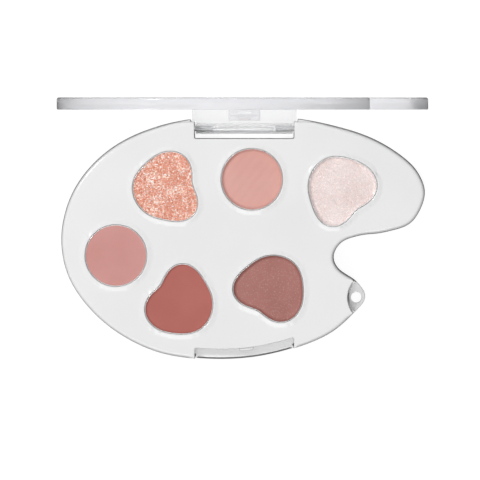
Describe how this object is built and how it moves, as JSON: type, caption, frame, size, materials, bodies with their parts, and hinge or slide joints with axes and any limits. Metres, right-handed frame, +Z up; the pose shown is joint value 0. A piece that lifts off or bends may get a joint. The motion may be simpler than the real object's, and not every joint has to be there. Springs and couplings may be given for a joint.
{
  "type": "eyeshadow palette",
  "caption": "Painter's-palette-shaped eyeshadow compact with a clear hinged lid, pans of pressed powder, a thumb notch, a snap catch and a keyring lug.",
  "frame": {"origin": "on the flat underside of the case, at the middle of its length and depth", "axes": "+X along the length towards the lobe past the thumb notch, +Y towards the hinge at the back, +Z up out of the tray"},
  "size_m": [0.1108, 0.0792, 0.0746],
  "materials": {
    "white_case": "glossy moulded",
    "white_tray": "glossy moulded",
    "clear_lid": "clear polished acrylic",
    "pin_steel": "knurled",
    "label_film": "satin film",
    "pan_metal": "pressed bright",
    "powder_soft_pink": "matte pressed powder",
    "powder_dusty_rose": "matte pressed powder",
    "powder_coral_glitter": "chunky glitter",
    "powder_pale_shimmer": "pearly shimmer",
    "powder_brick_red": "matte pressed powder",
    "powder_mauve_brown": "satin pressed powder",
    "glue_pad": "hot-melt adhesive"
  },
  "bodies": {
    "case_body": {"base_case": "white_case", "tray": "white_tray", "bottom_label": "label_film", "pan_soft_pink": "pan_metal", "pan_dusty_rose": "pan_metal", "pan_coral_glitter": "pan_metal", "pan_pale_shimmer": "pan_metal", "pan_brick_red": "pan_metal", "pan_mauve_brown": "pan_metal", "powder_soft_pink": "powder_soft_pink", "powder_dusty_rose": "powder_dusty_rose", "powder_coral_glitter": "powder_coral_glitter", "powder_pale_shimmer": "powder_pale_shimmer", "powder_brick_red": "powder_brick_red", "powder_mauve_brown": "powder_mauve_brown", "glue_pad_soft_pink": "glue_pad", "glue_pad_dusty_rose": "glue_pad", "glue_pad_coral_glitter": "glue_pad", "glue_pad_pale_shimmer": "glue_pad", "glue_pad_brick_red": "glue_pad", "glue_pad_mauve_brown": "glue_pad"},
    "lid_body": {"lid": "clear_lid", "hinge_pin_left": "pin_steel", "hinge_pin_right": "pin_steel"}
  },
  "joints": [
    {"name": "lid_hinge", "type": "hinge", "parent": "case_body", "child": "lid_body", "pos_m": [0.0004, 0.0334, 0.0042], "axis": [1, 0, 0], "range_deg": [0, 90]}
  ]
}
